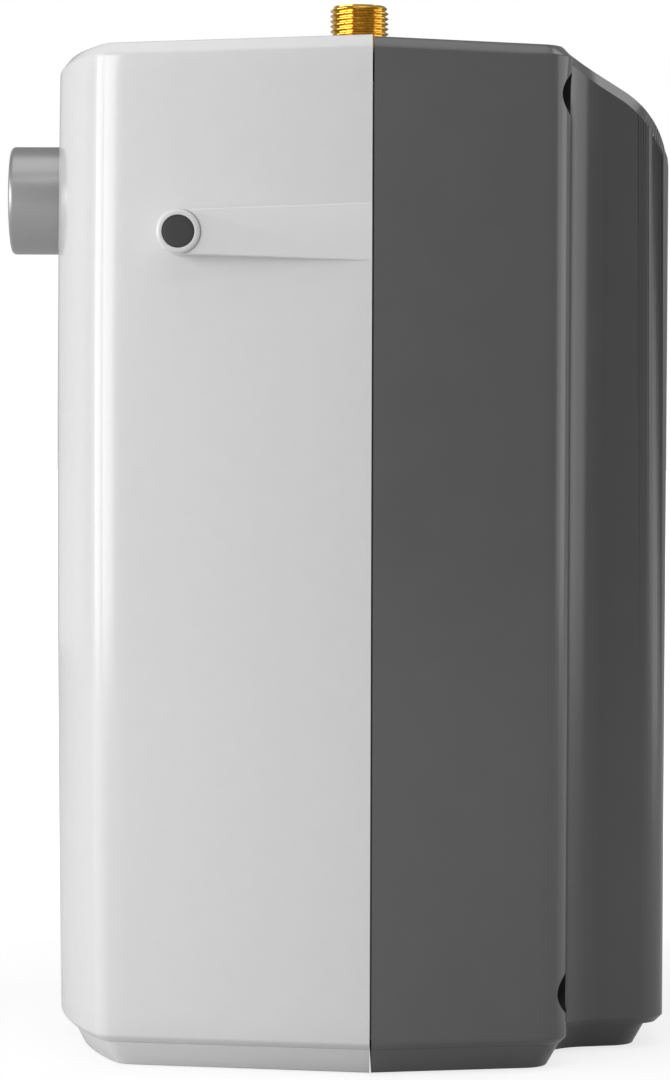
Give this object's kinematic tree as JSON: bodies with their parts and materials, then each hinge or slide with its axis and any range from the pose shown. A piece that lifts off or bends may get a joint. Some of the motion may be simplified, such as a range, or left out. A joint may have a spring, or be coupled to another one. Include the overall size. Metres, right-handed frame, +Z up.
{
  "type": "electric storage water heater",
  "caption": "Small under-sink storage water heater: bowed white front shell, grey rear shell with raised back, temperature knob, threaded water connections on top.",
  "frame": {"origin": "centre of the outline's box, on the ground under the plinth", "axes": "+Z up, the front with the knob looks along -Y, the raised back along +Y, and the water connections are side by side along X"},
  "size_m": [0.25, 0.2412, 0.3752],
  "materials": {
    "white_plastic": "smooth gloss moulding",
    "grey_plastic": "fine satin moulding",
    "dark_plastic": "satin moulding",
    "black_plastic": "satin moulding",
    "satin_plastic": "satin silver-grey coating on plastic",
    "cream_plastic": "moulded",
    "red_plastic": "moulded",
    "blue_plastic": "moulded",
    "brown_wire": "insulation",
    "blue_wire": "insulation",
    "green_wire": "insulation",
    "amber_lens": "clear moulding",
    "clear_glass": "clear",
    "brass": "turned",
    "copper": "drawn, dull",
    "zinc_steel": "zinc plated",
    "enamelled_steel": "primed outside, enamelled inside",
    "magnesium": "as cast",
    "black_rubber": "moulded",
    "white_foam": "expanded beads"
  },
  "bodies": {
    "heater": {"front_shell": "white_plastic", "rear_shell": "grey_plastic", "side_screws": "zinc_steel", "side_screw_plugs": "dark_plastic", "rear_screws": "zinc_steel", "wall_bracket": "zinc_steel", "cable_gland": "black_plastic", "gland_nut": "black_plastic", "thermostat_body": "cream_plastic", "bushing_nut": "zinc_steel", "thermostat_bracket": "zinc_steel", "capillary_and_bulb": "copper", "sensor_pocket": "copper", "thermal_cutout": "black_plastic", "terminal_block": "cream_plastic", "live_wires": "brown_wire", "neutral_wire": "blue_wire", "earth_wire": "green_wire", "indicator_lens": "amber_lens", "indicator_lamp": "clear_glass", "inlet_nipple": "brass", "outlet_nipple": "brass", "inlet_ring": "blue_plastic", "outlet_ring": "red_plastic", "dip_pipe": "cream_plastic", "draw_off_pipe": "cream_plastic", "tank_wall": "enamelled_steel", "tank_top": "enamelled_steel", "tank_bottom": "enamelled_steel", "flange_plate": "zinc_steel", "flange_gasket": "black_rubber", "flange_bolts": "zinc_steel", "heating_element": "copper", "anode_rod": "magnesium", "insulation_front": "white_foam", "insulation_rear": "white_foam", "insulation_top": "white_foam"},
    "control_knob": {"knob": "satin_plastic", "knob_clip": "zinc_steel", "thermostat_shaft": "zinc_steel"},
    "cutout_reset": {"reset_button": "red_plastic"}
  },
  "joints": [
    {"name": "knob_turn", "type": "hinge", "parent": "heater", "child": "control_knob", "pos_m": [0, -0.1116, 0.3087], "axis": [0, 1, 0], "range_deg": [0, 270]},
    {"name": "reset_press", "type": "slide", "parent": "heater", "child": "cutout_reset", "axis": [0, 0, -1], "range_m": [0, 0.0012], "stiffness_N_per_m": 300}
  ]
}
